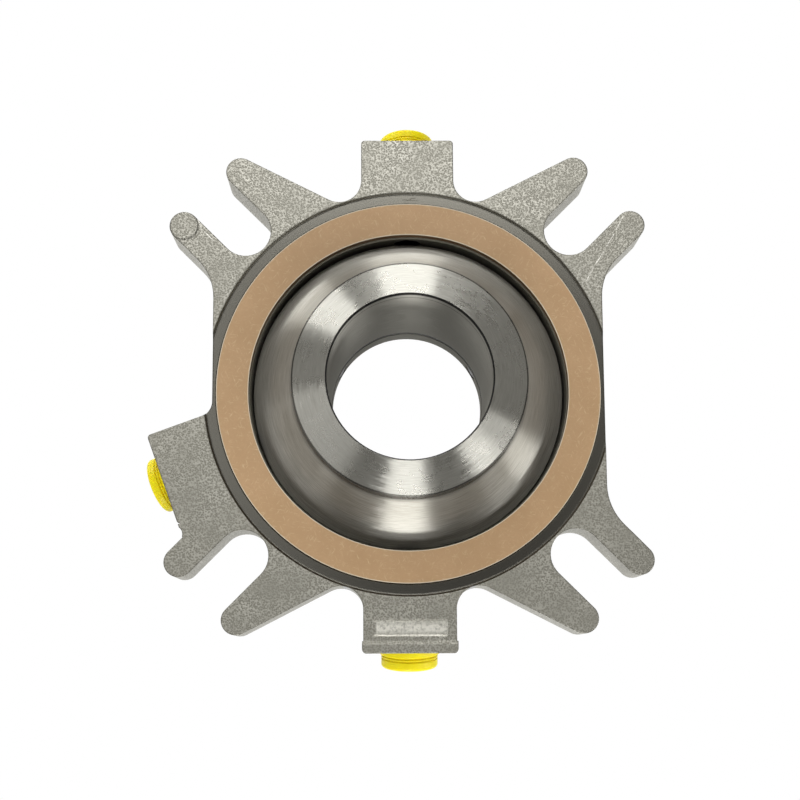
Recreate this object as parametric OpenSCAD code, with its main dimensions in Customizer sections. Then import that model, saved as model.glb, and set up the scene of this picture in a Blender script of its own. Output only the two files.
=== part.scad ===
// Cartridge mechanical seal for a 45 mm shaft, held at its working length by three setting clips.
// Millimetres. The origin is on the shaft axis in the gasket's sealing face, +Z runs inboard to the
// pump, +Y to the flush port. Outboard is -Z.

/* [Shaft and sleeve] */
// Shaft that the sleeve slides on, diameter
shaft_d = 45; // [44:0.5:46]
// Wall of the sleeve's tube
sleeve_wall = 3.5; // [3.2:0.1:3.8]
// Inboard end of the sleeve, above the gasket face
nose_z = 22.7; // [21.7:0.1:23.7]
// Outboard end of the sleeve and its collar, below the gasket face
end_depth = 38.7; // [38.2:0.1:40]
// Width of the lead-in at the nose, radial
lead_in = 0.4; // [0.3:0.05:0.6]
// Length of the lead-in
lead_in_length = 1.1; // [0.8:0.1:1.5]
// Radial width of the nose, from bore to neck
nose_width = 9.8; // [9:0.1:10.2]
// Drop of the sloped nose face
nose_drop = 4.05; // [3:0.05:5]
// Rounding of the nose's outer edge
nose_round = 0.4; // [0.2:0.1:0.6]
// Height at which the neck meets the cone
neck_z = 13.3; // [12.5:0.1:14]
// Fillet between the neck and the cone
neck_fillet = 2; // [1:0.5:5]
// Radius of the rotor's rim
rim_r = 44.3; // [43.9:0.1:44.7]
// Depth of the rim's edge below the gasket face
rim_depth = 8.4; // [8:0.1:8.5]
// Rounding of the rim's edge
rim_round = 0.4; // [0.3:0.1:0.6]
// Depth of the rotor's back below the gasket face
rotor_back_depth = 9.6; // [9.3:0.1:9.8]

/* [Gland] */
// Height of the gasket above the cast face
gasket_proud = 0.4; // [0.2:0.1:0.8]
// Gland thickness over the hub and the bosses
gland_thickness = 26; // [25.5:0.1:26.4]
// Thickness of the fingers
finger_thickness = 15.5; // [14:0.5:17]
// Gap between the rotor's rim and the gland's bore
rotor_gap = 0.5; // [0.4:0.1:0.8]
// Depth of the wide chamber below the gasket face
chamber_depth = 13.2; // [13:0.1:13.4]
// Chamfer at the mouth of the chamber
mouth_chamfer = 0.4; // [0.2:0.1:0.5]
// Width of the machined band outside the gasket
band_width = 3.1; // [2.8:0.05:3.3]
// Depth of the machined band below the cast face
band_depth = 0.55; // [0.4:0.05:0.8]
// Sloped edge of the machined band, radial
band_edge = 0.55; // [0.4:0.05:0.8]
// Distance over the two side flats
flats_width = 111; // [110:0.5:112]
// Radius of the hub at the back
hub_r = 52; // [51:0.5:53]
// Draft of the hub, radial
hub_draft = 1; // [0:0.1:1.5]

/* [Gland fingers] */
// Width of the open bolt slots
slot_width = 14.4; // [13.6:0.2:14.8]
// Radius at which the slots' round ends are centred
slot_r = 65.7; // [65:0.1:67]
// Radius at which the finger tips are centred, along the slot
tip_r = 79.4; // [77:0.2:81]
// Rounding of the finger tips
tip_round = 4.15; // [3.8:0.05:4.4]
// Slope of the upper fingers' straight edge, degrees
finger_slope = 27; // [25:0.5:28]
// Fillet between an upper finger and a boss
boss_fillet = 6.4; // [5:0.2:7]
// Fillet between a lower finger and a side flat
flat_fillet = 16; // [12:0.5:17]

/* [Port bosses] */
// Reach of a boss at its front edge
boss_reach = 73.5; // [72:0.5:75]
// Width of a boss
boss_width = 26.6; // [25.4:0.2:27]
// Rounding of a boss's corners
boss_round = 1; // [0.5:0.1:1.5]
// Tilt of the ports towards the back, degrees
port_tilt = 12; // [10:0.5:13]
// Port centre behind the cast face, at the boss's end
port_depth = 13.8; // [13.2:0.1:14]
// Thread of the ports, outside diameter
port_thread_d = 16.4; // [15.6:0.2:16.6]
// Depth of the ports' thread
port_thread_depth = 13; // [10:0.5:14]
// Passage from a port to the chamber, diameter
passage_d = 8; // [7:0.5:9]
// Direction of the side port, degrees
side_port_angle = 200; // [199:0.5:201]
// Fillet between the side boss and the side flat
side_fillet = 4.5; // [3:0.5:6]
// Fillet between the side boss and the finger below it
web_fillet = 2.25; // [1.8:0.05:2.4]
// Offset of the side port from the middle of its boss
side_port_shift = 0.8; // [0:0.1:1]

/* [Casting marks] */
// Length of the raised pad on the drain boss
pad_length = 21.3; // [18:0.1:23]
// Width of the raised pad
pad_width = 4.6; // [3:0.1:5]
// Height of the raised pad
pad_height = 0.35; // [0.2:0.05:0.4]
// Bevel round the raised pad
pad_bevel = 0.6; // [0.4:0.1:0.8]
// Distance from the boss's front edge to the raised pad
pad_inset = 4.6; // [4.4:0.1:6]
// Width of the lip across the end of the drain boss
lip_width = 3.4; // [2.5:0.1:3.8]
// Height of the lip
lip_height = 0.4; // [0.2:0.05:0.4]
// Depth of the lip's overhang at the boss's sides
lip_drop = 4; // [3:0.5:5]
// How far the lip overhangs the boss on each side
lip_side = 0.35; // [0.2:0.05:0.5]
// Rounding of the lip's corners
lip_round = 1.4; // [1:0.1:2]
// Height of the gate pad left on the upper left outer finger
gate_pad_height = 0.25; // [0.2:0.05:0.4]
// Radius of the dip ground in the lower right outer finger
dip_r = 6.2; // [5.5:0.1:7]
// Depth of the dip at the finger tip's centre
dip_depth = 0.35; // [0.3:0.05:0.5]
// Slope of the dip towards the tip, degrees
dip_slope = 3; // [2:0.5:4]

/* [Gasket] */
// Thickness of the gasket
gasket_thickness = 3; // [2.6:0.1:3.2]
// Radial width of the gasket
gasket_width = 9.05; // [8.6:0.05:9.2]
// Gap between the chamber's bore and the gasket
gasket_gap = 0.5; // [0.3:0.1:0.8]

/* [Port plugs] */
// Plug's diameter at the boss
plug_base_d = 17.2; // [16.8:0.1:17.6]
// Plug's diameter at its rim
plug_rim_d = 16; // [15.4:0.1:16.4]
// Length of the plug outside the boss
plug_head = 6; // [5.6:0.1:7]
// Length of the plug inside the port
plug_shank = 9; // [7:0.5:9.5]
// Depth of the recess in the plug's end
plug_recess = 5; // [4:0.5:7.5]
// Rounding of the plug's rim
plug_round = 1; // [0.6:0.1:1.2]
// Length of the plug's flange
plug_flange = 2.3; // [1.8:0.1:2.4]
// How far the flush port's plug stands out of its seat
flush_plug_out = 1.7; // [0:0.1:2]
// How far the drain port's plug stands out of its seat
drain_plug_out = 0.6; // [0:0.1:2]

/* [Seal faces and O-rings] */
// Gap between the sleeve and the faces' bores
face_bore_gap = 1.2; // [1:0.1:1.3]
// Radial width of both seal faces
face_width = 9.4; // [9.2:0.1:9.6]
// Height of the rotary face above the rotor's back
face_proud = 1; // [0.8:0.1:1.2]
// Thickness of the rotary face
rotary_thickness = 8; // [7:0.5:8.5]
// Radial width of the carbon's nose
nose_land = 3.6; // [3:0.1:4]
// Bore side shoulder of the carbon's nose
nose_offset = 2.2; // [1.8:0.1:2.4]
// Height of the carbon's nose
carbon_nose = 1.6; // [1.4:0.1:1.8]
// Thickness of the carbon's body
carbon_body = 6; // [5.8:0.1:6.1]
// Travel of the carbon against its springs
carbon_travel = 1.5; // [1.2:0.1:1.6]
// Section of the face O-rings
oring_d = 2.9; // [2.8:0.05:2.95]
// Section of the shaft O-ring
shaft_oring_d = 2.2; // [2:0.1:2.3]
// Depth of the shaft O-ring below the gasket face
shaft_oring_depth = 29.5; // [22:0.5:29.5]

/* [Springs and pins] */
// Number of springs
spring_count = 6; // [6:2:6]
// Outside diameter of a spring
spring_d = 4; // [3.8:0.1:4.2]
// Wire of a spring
spring_wire = 0.6; // [0.5:0.05:0.65]
// Turns of a spring
spring_turns = 4; // [3:1:5]
// Thickness of the spring plate
plate_thickness = 1.2; // [1:0.1:1.3]
// Diameter of the drive and anti-rotation pins
pin_d = 3; // [2.6:0.1:3.2]
// Depth of the spring pockets
pocket_depth = 4.6; // [4.2:0.1:4.8]

/* [Throttle bushing] */
// Running gap between the sleeve and the bushing
bushing_gap = 0.35; // [0.3:0.05:0.5]
// Radial wall of the bushing
bushing_wall = 2.2; // [2:0.1:2.3]
// Length of the bushing
bushing_length = 5; // [4:0.5:5.5]

/* [Drive collar] */
// Outside radius of the collar
collar_r = 36; // [35.5:0.1:36.2]
// Gap between the gland and the collar
collar_gap = 1.2; // [1:0.1:1.4]
// Depth of the groove for the clips
clip_groove_depth = 2.4; // [2:0.1:2.6]
// Set screw thread in the collar
set_screw_d = 5; // [4:0.5:5]
// Set screws' distance from the collar's end
set_screw_inset = 3.7; // [3.6:0.1:4]
// Hexagon of the set screws, across corners
set_screw_hex = 2.9; // [2.2:0.1:3]

/* [Setting clips] */
// Radius at which the clips' screws sit
clip_screw_r = 44; // [43.8:0.1:44.4]
// Radius of a clip's round body
clip_r = 7; // [6.6:0.1:7.2]
// Width of a clip's tongue
clip_tongue_width = 6.4; // [5.6:0.2:7]
// Thickness of a clip's tongue
clip_tongue = 2; // [1.6:0.1:2]
// Space below the tongue
clip_rise = 2.9; // [2.8:0.1:3]
// Clip screw thread
clip_screw_d = 5; // [4:0.5:5]
// Length of a clip screw in the gland
clip_screw_grip = 6.5; // [5:0.5:7]

/* [Hidden] */
// Round parts are true circles.
$fn = 96;
// Overlap that makes a cut run clear through.
cut = 1;
// Clearance between a screw or pin and its hole, radial.
screw_fit = 0.05;
// Clearance of the gasket in its seat, radial.
gasket_fit = 0.1;
// Clearance of the clip's tongue in its groove, each side and at the bottom.
tongue_fit = 0.1;
tongue_end_gap = 0.6;
// Air round the seal faces in their pockets and the spring plate in its housing.
pocket_gap = 0.35;
plate_gap = 0.4;
stop_gap = 0.2;
// Air at the sides of an O-ring, and the lip in front of the carbon's O-ring groove.
groove_slack = 0.6;
shaft_groove_slack = 0.3;
housing_lip = 0.9;
// Pin holes: engagement in a notch, air past the pin's end, depth in the holding part, slack round it.
notch_depth = 2.5;
notch_slack = 0.5;
pin_hold = 3.5;
notch_gap = 0.3;
spring_gap = 0.25;
// Broken edges of the turned parts, and the flat left at the nose.
edge_break = 0.5;
nose_flat = 0.1;
// Set screws: how far the tips stay back from the bore, the heads' recess, the points and the sockets.
tip_setback = 0.15;
head_recess = 2.2;
cup_point = 0.6;
dog_point = 1.3;
point_step = 0.8;
socket_depth = 3;
dimple_depth = 1.2;
// Plug: chamfer of the shank, taper and edge of the flange, the two grooves, wall at the rim.
shank_chamfer = 1;
flange_taper = 0.1;
flange_edge = 0.3;
plug_groove_width = 0.35;
plug_groove_depth = 0.4;
plug_land = 0.45;
plug_wall = 2;
// Clip screws: head radius and socket size as parts of the thread.
head_ratio = 0.85;
socket_ratio = 0.46;
// How far a boss's root reaches into the hub, and a passage into the chamber.
boss_root = 4;
passage_overrun = 4;
// Setback of the gate pad from the tip's edge, and shift of the dip towards the slot.
gate_pad_setback = 0.15;
dip_shift = 1;
// Smaller circles need fewer sides in the preview.
small_fn = 32;

shaft_r = shaft_d / 2;
sleeve_r = shaft_r + sleeve_wall;
end_z = -end_depth;
neck_r = shaft_r + nose_width;
rim_z = -rim_depth;
rotor_back_z = -rotor_back_depth;
seal_z = rotor_back_z - face_proud;

face_in_r = sleeve_r + face_bore_gap;
face_r = face_in_r + face_width;
pocket_r = face_r + pocket_gap;
oring_mid_r = face_r + oring_d / 2 + screw_fit;
oring_floor_r = oring_mid_r + oring_d / 2 + screw_fit;
oring_groove = oring_d + groove_slack;
rotary_seat_z = seal_z + rotary_thickness;
rotary_oring_r = pocket_r - screw_fit - oring_d / 2;
rotary_oring_z = rotary_seat_z - oring_groove / 2;
rotary_step_r = rotary_oring_r - oring_d / 2 - screw_fit;
rotary_pin_r = (face_in_r + rotary_step_r) / 2;

face_z = -gasket_proud;
back_z = face_z - gland_thickness;
finger_z = face_z - finger_thickness;
seat_z = -gasket_thickness;
chamber_r = rim_r + rotor_gap;
chamber_z = -chamber_depth;
gasket_in_r = chamber_r + gasket_gap;
gasket_r = gasket_in_r + gasket_width;
band_r = gasket_r + band_width;
band_z = face_z - band_depth;
flat_x = flats_width / 2;

carbon_z = seal_z - carbon_nose;
carbon_back_z = carbon_z - carbon_body;
plate_back_z = carbon_back_z - plate_thickness;
carbon_oring_z = chamber_z - housing_lip - oring_groove / 2;
housing_z = plate_back_z - carbon_travel - stop_gap;
pocket_z = housing_z - pocket_depth;
ring_mid_r = (face_in_r + face_r) / 2;

bushing_in_r = sleeve_r + bushing_gap;
bushing_r = bushing_in_r + bushing_wall;
collar_z = back_z - collar_gap;
clip_top_z = back_z - clip_rise;
clip_bottom_z = clip_top_z - clip_tongue;
groove_floor_r = collar_r - clip_groove_depth;
tongue_reach = clip_screw_r - groove_floor_r - tongue_end_gap;
set_screw_z = end_z + set_screw_inset;

slot_half = slot_width / 2;
tip_side = slot_half + tip_round;
outer_tip = turned([tip_r, -tip_side], 45);
boss_half = boss_width / 2;
drain_half = boss_half - lip_side;
port_z = face_z - port_depth;
port_r = boss_reach - port_depth * tan(port_tilt);
port_thread_r = port_thread_d / 2;

drive_angles = [30, 150, 270];
lock_angles = [90, 210, 330];
clip_angles = [30, 150, 270];
pin_angles = [30, 210];

// Turns a point by an angle about the origin.
function turned(p, a) = [p[0] * cos(a) - p[1] * sin(a), p[0] * sin(a) + p[1] * cos(a)];
// The point at a distance from p, in a direction.
function along(p, a, d) = [p[0] + d * cos(a), p[1] + d * sin(a)];
// Where the line through p in direction a meets the line through q in direction b.
function meet(p, a, q, b) = along(p, a, ((q[0] - p[0]) * sin(b) - (q[1] - p[1]) * cos(b)) / sin(b - a));

// A ring turned about the shaft axis, from z0 up to z1.
module ring(r_in, r_out, z0, z1) {
    rotate_extrude()
        translate([r_in, z0])
            square([r_out - r_in, z1 - z0]);
}

// A solid disc or bore about the shaft axis, from z0 up to z1.
module disc(r, z0, z1) {
    translate([0, 0, z0])
        cylinder(r = r, h = z1 - z0);
}

// An O-ring of section d, centred on radius r at height z.
module oring(r, d, z) {
    translate([0, 0, z])
        rotate_extrude()
            translate([r, 0])
                circle(r = d / 2, $fn = 48);
}

// Places a child on a port's axis at the boss's end face, +Z pointing out of the port.
module at_port(angle, shift = 0) {
    rotate([0, 0, angle])
        translate([port_r, -shift, port_z])
            rotate([0, 90 + port_tilt, 0])
                children();
}

// One quarter of the gland's outline, with its two fingers either side of a bolt slot and a boss of the
// given half width. The straight edges meet the tips and the fillets at their tangent points.
module finger_outline(half) {
    upper_tip = turned([tip_r, tip_side], 45);
    lower_tip = turned([tip_r, -tip_side], 45);
    upper_edge = along(upper_tip, finger_slope + 90, tip_round);
    lower_edge = along(lower_tip, -45, tip_round);
    boss_corner = meet(upper_edge, finger_slope, [half, 0], 90);
    boss_run = boss_fillet / tan((90 - finger_slope) / 2);
    boss_centre = [half + boss_fillet, boss_corner[1] + boss_run];
    flat_corner = meet(lower_edge, 45, [flat_x, 0], 90);
    flat_run = flat_fillet * tan(22.5);
    flat_centre = [flat_x + flat_fillet, flat_corner[1] - flat_run];
    difference() {
        union() {
            polygon([
                [0, 0],
                [flat_x, 0],
                [flat_x, flat_corner[1] - flat_run],
                along(flat_corner, 45, flat_run),
                lower_edge,
                lower_tip,
                upper_tip,
                upper_edge,
                along(boss_corner, finger_slope, boss_run),
                [half, boss_corner[1] + boss_run],
                [0, boss_corner[1] + boss_run]
            ]);
            translate(lower_tip)
                circle(r = tip_round);
            translate(upper_tip)
                circle(r = tip_round);
        }
        translate(flat_centre)
            circle(r = flat_fillet);
        translate(boss_centre)
            circle(r = boss_fillet);
        rotate(45) {
            translate([slot_r, 0])
                circle(r = slot_half);
            translate([slot_r, -slot_half])
                square([tip_r, slot_width]);
        }
    }
}

// The fillet between the side boss and the side flat above it.
module side_fillet_outline() {
    boss_side = turned([0, -boss_half], side_port_angle);
    corner = meet(boss_side, side_port_angle, [-flat_x, 0], 90);
    run = side_fillet / tan((side_port_angle - 90) / 2);
    difference() {
        polygon([
            [-flat_x + cut, corner[1]],
            [-flat_x + cut, corner[1] + run],
            [-flat_x, corner[1] + run],
            along(corner, side_port_angle, run),
            along(corner, side_port_angle, run - cut)
        ]);
        translate([-flat_x - side_fillet, corner[1] + run])
            circle(r = side_fillet);
    }
}

// The fillet between the side boss and the finger below it.
module side_web_outline() {
    boss_side = turned([0, boss_half], side_port_angle);
    finger_side = turned([0, -tip_side - tip_round], 225);
    corner = meet(boss_side, side_port_angle, finger_side, 225);
    half_turn = (225 - side_port_angle) / 2;
    run = web_fillet / tan(half_turn);
    difference() {
        polygon([
            along(corner, side_port_angle + half_turn, -cut),
            along(corner, side_port_angle, run),
            along(corner, 225, run)
        ]);
        translate(along(corner, side_port_angle + half_turn, web_fillet / sin(half_turn)))
            circle(r = web_fillet);
    }
}

// A block on a boss's axis, from radius start out to the tilted end face, with rounded end corners.
module boss_block(angle, half, start, low_z, high_z, corner_r) {
    rotate([0, 0, angle])
        intersection() {
            translate([start, -half, low_z])
                cube([boss_reach - start, 2 * half, high_z - low_z]);
            translate([port_r, 0, port_z])
                rotate([0, port_tilt, 0])
                    linear_extrude(height = 2 * gland_thickness, center = true)
                        union() {
                            translate([-boss_reach, -half])
                                square([boss_reach - corner_r, 2 * half]);
                            translate([-boss_reach, corner_r - half])
                                square([boss_reach, 2 * (half - corner_r)]);
                            translate([-corner_r, half - corner_r])
                                circle(r = corner_r);
                            translate([-corner_r, corner_r - half])
                                circle(r = corner_r);
                        }
        }
}

// A port boss over the gland's whole thickness.
module boss(angle, half) {
    boss_block(angle, half, hub_r - boss_root, back_z, face_z, boss_round);
}

// Section of the raised pad across its length or its width, standing in the cast face.
function pad_section(width) = [
    [-width / 2, 0],
    [width / 2, 0],
    [width / 2, cut],
    [width / 2 - pad_bevel, cut + pad_height],
    [pad_bevel - width / 2, cut + pad_height],
    [-width / 2, cut]
];

// The raised pad on the drain boss, bevelled on its four sides.
module drain_pad() {
    translate([0, pad_inset + pad_width / 2 - boss_reach, face_z - cut])
        intersection() {
            rotate([90, 0, 0])
                linear_extrude(height = pad_width, center = true)
                    polygon(pad_section(pad_length));
            rotate([90, 0, 90])
                linear_extrude(height = pad_length, center = true)
                    polygon(pad_section(pad_width));
        }
}

// The raised lip across the end of the drain boss, with a sloped inner edge.
module drain_lip() {
    lip_in = boss_reach - lip_width;
    lip_top = face_z + lip_height;
    intersection() {
        boss_block(270, boss_half, lip_in, face_z - lip_drop, lip_top, lip_round);
        rotate([90, 0, 270])
            linear_extrude(height = boss_width + 2 * cut, center = true)
                polygon([
                    [lip_in, face_z - lip_drop],
                    [boss_reach + cut, face_z - lip_drop],
                    [boss_reach + cut, lip_top],
                    [lip_in + 2 * lip_height, lip_top],
                    [lip_in, face_z]
                ]);
    }
}

// The threaded port and the passage that opens into the chamber.
module port(angle, shift = 0) {
    at_port(angle, shift) {
        translate([0, 0, -port_thread_depth])
            cylinder(r = port_thread_r, h = port_thread_depth + cut);
        translate([0, 0, chamber_r - port_r - passage_overrun])
            cylinder(r = passage_d / 2, h = port_r - chamber_r);
    }
}

// Gland: a blasted stainless casting with a machined seat, chamber, carbon housing and bushing bore.
module gland() {
    color([0.72, 0.71, 0.66])
        difference() {
            union() {
                translate([0, 0, finger_z])
                    linear_extrude(height = finger_thickness) {
                        finger_outline(boss_half);
                        mirror([1, 0])
                            finger_outline(boss_half);
                        mirror([0, 1])
                            finger_outline(drain_half);
                        rotate(180)
                            finger_outline(drain_half);
                        side_fillet_outline();
                    }
                intersection() {
                    translate([0, 0, finger_z])
                        linear_extrude(height = finger_thickness)
                            side_web_outline();
                    boss(side_port_angle, boss_width);
                }
                translate([0, 0, back_z])
                    cylinder(r1 = hub_r - hub_draft, r2 = hub_r, h = gland_thickness - cut);
                boss(90, boss_half);
                boss(side_port_angle, boss_half);
                boss(270, drain_half);
                drain_pad();
                drain_lip();
                translate([-outer_tip[0], outer_tip[1], face_z - cut])
                    cylinder(r = tip_round - gate_pad_setback, h = cut + gate_pad_height);
            }
            disc(gasket_r + gasket_fit, seat_z, cut);
            translate([0, 0, band_z])
                cylinder(r1 = band_r, r2 = band_r + 2 * band_edge, h = 2 * band_depth);
            disc(chamber_r, chamber_z, cut);
            translate([0, 0, seat_z - mouth_chamfer])
                cylinder(r1 = chamber_r, r2 = chamber_r + mouth_chamfer + cut, h = mouth_chamfer + cut);
            disc(pocket_r, housing_z, 0);
            disc(oring_floor_r, carbon_oring_z - oring_groove / 2, carbon_oring_z + oring_groove / 2);
            disc(bushing_r, back_z - cut, 0);
            port(90);
            port(side_port_angle, side_port_shift);
            port(270);
            translate([outer_tip[0], -outer_tip[1], face_z - dip_depth])
                rotate([0, 0, -45])
                    translate([0, -dip_shift, 0])
                        rotate([0, dip_slope, 0])
                            cylinder(r = dip_r, h = cut + gland_thickness);
            for (i = [0 : spring_count - 1])
                rotate([0, 0, 360 * i / spring_count])
                    translate([ring_mid_r, 0, pocket_z])
                        cylinder(r = spring_d / 2 + spring_gap, h = pocket_depth + cut, $fn = small_fn);
            for (a = pin_angles)
                rotate([0, 0, a])
                    translate([ring_mid_r, 0, pocket_z])
                        cylinder(r = pin_d / 2 + screw_fit, h = pocket_depth + cut, $fn = small_fn);
            for (a = clip_angles)
                rotate([0, 0, a])
                    translate([clip_screw_r, 0, back_z - cut])
                        cylinder(r = clip_screw_d / 2 + screw_fit, h = clip_screw_grip + 2 * cut, $fn = 48);
        }
}

// Gland gasket: a flat compressed fibre ring on the machined seat.
module gland_gasket() {
    color([0.72, 0.60, 0.44])
        ring(gasket_in_r, gasket_r, seat_z, 0);
}

// A moulded plastic plug: a flange, two grooves below its rounded rim, and a hollow shank. It stands
// out of its seat by the distance given.
module port_plug(angle, out, shift = 0) {
    base_r = plug_base_d / 2;
    plug_r = plug_rim_d / 2;
    shank_r = port_thread_r - screw_fit;
    groove_r = plug_r - plug_groove_depth;
    color([0.95, 0.83, 0.08])
        at_port(angle, shift)
            translate([0, 0, out])
                difference() {
                    rotate_extrude()
                        difference() {
                            union() {
                                polygon([
                                    [0, -plug_shank],
                                    [shank_r - shank_chamfer, -plug_shank],
                                    [shank_r, shank_chamfer - plug_shank],
                                    [shank_r, 0],
                                    [base_r, 0],
                                    [base_r - flange_taper, plug_flange - flange_edge],
                                    [plug_r, plug_flange],
                                    [plug_r, plug_head - plug_round],
                                    [plug_r - plug_round, plug_head],
                                    [0, plug_head]
                                ]);
                                translate([plug_r - plug_round, plug_head - plug_round])
                                    circle(r = plug_round, $fn = small_fn);
                            }
                            for (z = [plug_flange, plug_flange + plug_groove_width + plug_land])
                                translate([groove_r, z])
                                    square([plug_groove_depth + cut, plug_groove_width]);
                        }
                    translate([0, 0, plug_head - plug_recess])
                        cylinder(r = plug_r - plug_wall, h = plug_recess + cut);
                }
}

module flush_port_plug() {
    port_plug(90, flush_plug_out);
}

module side_port_plug() {
    port_plug(side_port_angle, 0, side_port_shift);
}

module drain_port_plug() {
    port_plug(270, drain_plug_out);
}

// Sleeve: the shaft sleeve and its conical rotor head, turned in one piece.
module sleeve() {
    cone_slope = atan((rim_r - neck_r) / (neck_z - rim_z));
    neck_run = neck_fillet * tan(cone_slope / 2);
    edge_turn = 90 - cone_slope / 2;
    edge_run = rim_round / tan(edge_turn);
    nose_in_r = shaft_r + lead_in + nose_flat;
    nose_slope = atan(nose_drop / (neck_r - nose_in_r));
    nose_edge_z = nose_z - nose_drop + nose_round * (tan(nose_slope) - 1 / cos(nose_slope));
    color([0.78, 0.78, 0.77])
        difference() {
            rotate_extrude() {
                translate([neck_r - nose_round, nose_edge_z])
                    circle(r = nose_round, $fn = small_fn);
                difference() {
                    polygon([
                        [shaft_r, end_z + edge_break],
                        [shaft_r + edge_break, end_z],
                        [sleeve_r - edge_break, end_z],
                        [sleeve_r, end_z + edge_break],
                        [sleeve_r, rotary_seat_z],
                        [pocket_r, rotary_seat_z],
                        [pocket_r, rotor_back_z],
                        [rim_r - edge_break, rotor_back_z],
                        [rim_r, rotor_back_z + edge_break],
                        [rim_r, rim_z - edge_run],
                        [rim_r - edge_run * sin(cone_slope), rim_z + edge_run * cos(cone_slope)],
                        [neck_r + neck_run * sin(cone_slope), neck_z - neck_run * cos(cone_slope)],
                        [neck_r, neck_z + neck_run],
                        [neck_r, nose_edge_z],
                        [
                            neck_r - nose_round * (1 - sin(nose_slope)),
                            nose_edge_z + nose_round * cos(nose_slope)
                        ],
                        [nose_in_r, nose_z],
                        [shaft_r + lead_in, nose_z],
                        [shaft_r, nose_z - lead_in_length]
                    ]);
                    translate([neck_r + neck_fillet, neck_z + neck_run])
                        circle(r = neck_fillet);
                }
            }
            ring(shaft_r - cut, shaft_r + shaft_oring_d + 2 * screw_fit,
                -shaft_oring_depth - (shaft_oring_d + shaft_groove_slack) / 2,
                -shaft_oring_depth + (shaft_oring_d + shaft_groove_slack) / 2);
            for (a = pin_angles)
                rotate([0, 0, a])
                    translate([rotary_pin_r, 0, rotary_seat_z - cut])
                        cylinder(r = pin_d / 2 + screw_fit, h = pin_hold + notch_slack + cut,
                            $fn = small_fn);
            for (a = drive_angles)
                rotate([0, 0, a])
                    translate([shaft_r - cut, 0, set_screw_z])
                        rotate([0, 90, 0])
                            cylinder(r = set_screw_d / 2 + screw_fit, h = sleeve_wall + 2 * cut,
                                $fn = small_fn);
            for (a = lock_angles)
                rotate([0, 0, a])
                    translate([sleeve_r - dimple_depth, 0, set_screw_z])
                        rotate([0, 90, 0])
                            cylinder(r = set_screw_d / 2 - point_step + screw_fit,
                                h = dimple_depth + cut, $fn = small_fn);
        }
}

// Rotary face: a lapped silicon carbide ring with a step for its O-ring and pin notches in its back.
module rotary_face() {
    color([0.25, 0.26, 0.28])
        difference() {
            rotate_extrude()
                polygon([
                    [face_in_r, seal_z],
                    [face_r, seal_z],
                    [face_r, rotary_seat_z - oring_groove],
                    [rotary_step_r, rotary_seat_z - oring_groove],
                    [rotary_step_r, rotary_seat_z],
                    [face_in_r, rotary_seat_z]
                ]);
            for (a = pin_angles)
                rotate([0, 0, a])
                    translate([rotary_pin_r, 0, rotary_seat_z - notch_depth - notch_slack])
                        cylinder(r = pin_d / 2 + screw_fit, h = notch_depth + notch_slack + cut,
                            $fn = small_fn);
        }
}

module rotary_face_oring() {
    color([0.08, 0.08, 0.08])
        oring(rotary_oring_r, oring_d, rotary_oring_z);
}

// Two dowels pressed into the rotor head drive the rotary face.
module rotary_drive_pins() {
    color([0.7, 0.7, 0.72])
        for (a = pin_angles)
            rotate([0, 0, a])
                translate([rotary_pin_r, 0, rotary_seat_z - notch_depth])
                    cylinder(r = pin_d / 2, h = notch_depth + pin_hold, $fn = small_fn);
}

// Stationary face: a carbon ring with a raised sealing nose and pin notches in its back.
module stationary_face() {
    color([0.13, 0.13, 0.14])
        difference() {
            rotate_extrude()
                polygon([
                    [face_in_r, carbon_back_z],
                    [face_r, carbon_back_z],
                    [face_r, carbon_z],
                    [face_in_r + nose_offset + nose_land, carbon_z],
                    [face_in_r + nose_offset + nose_land, seal_z],
                    [face_in_r + nose_offset, seal_z],
                    [face_in_r + nose_offset, carbon_z],
                    [face_in_r, carbon_z]
                ]);
            for (a = pin_angles)
                rotate([0, 0, a])
                    translate([ring_mid_r, 0, carbon_back_z - cut])
                        cylinder(r = pin_d / 2 + notch_gap,
                            h = notch_depth + carbon_travel + notch_slack + cut, $fn = small_fn);
        }
}

module stationary_face_oring() {
    color([0.08, 0.08, 0.08])
        oring(oring_mid_r, oring_d, carbon_oring_z);
}

// Spring plate: spreads the springs' load on the back of the carbon.
module spring_plate() {
    color([0.7, 0.7, 0.7])
        difference() {
            ring(face_in_r, face_r - plate_gap, plate_back_z, carbon_back_z);
            for (a = pin_angles)
                rotate([0, 0, a])
                    translate([ring_mid_r, 0, plate_back_z - cut])
                        cylinder(r = pin_d / 2 + notch_gap, h = plate_thickness + 2 * cut, $fn = small_fn);
        }
}

// One coil spring standing on the bottom of its pocket, built of tilted half turns that meet end to end.
module coil_spring(height) {
    coil_r = (spring_d - spring_wire) / 2;
    rise = (height - spring_wire) / (2 * spring_turns);
    tilt = asin(rise / (2 * coil_r));
    for (i = [0 : 2 * spring_turns - 1])
        translate([0, 0, spring_wire / 2 + (i + 0.5) * rise])
            rotate([0, 0, 180 * (i % 2)])
                rotate([0, tilt, 0])
                    rotate_extrude(angle = 180, $fn = small_fn)
                        translate([coil_r, 0])
                            circle(r = spring_wire / 2, $fn = 16);
}

module face_springs() {
    color([0.75, 0.75, 0.76])
        for (i = [0 : spring_count - 1])
            rotate([0, 0, 360 * i / spring_count])
                translate([ring_mid_r, 0, pocket_z])
                    coil_spring(plate_back_z - pocket_z);
}

// Two dowels in the gland keep the carbon and the spring plate from turning.
module anti_rotation_pins() {
    color([0.7, 0.7, 0.72])
        for (a = pin_angles)
            rotate([0, 0, a])
                translate([ring_mid_r, 0, pocket_z])
                    cylinder(r = pin_d / 2, h = carbon_back_z + notch_depth - pocket_z, $fn = small_fn);
}

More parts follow.
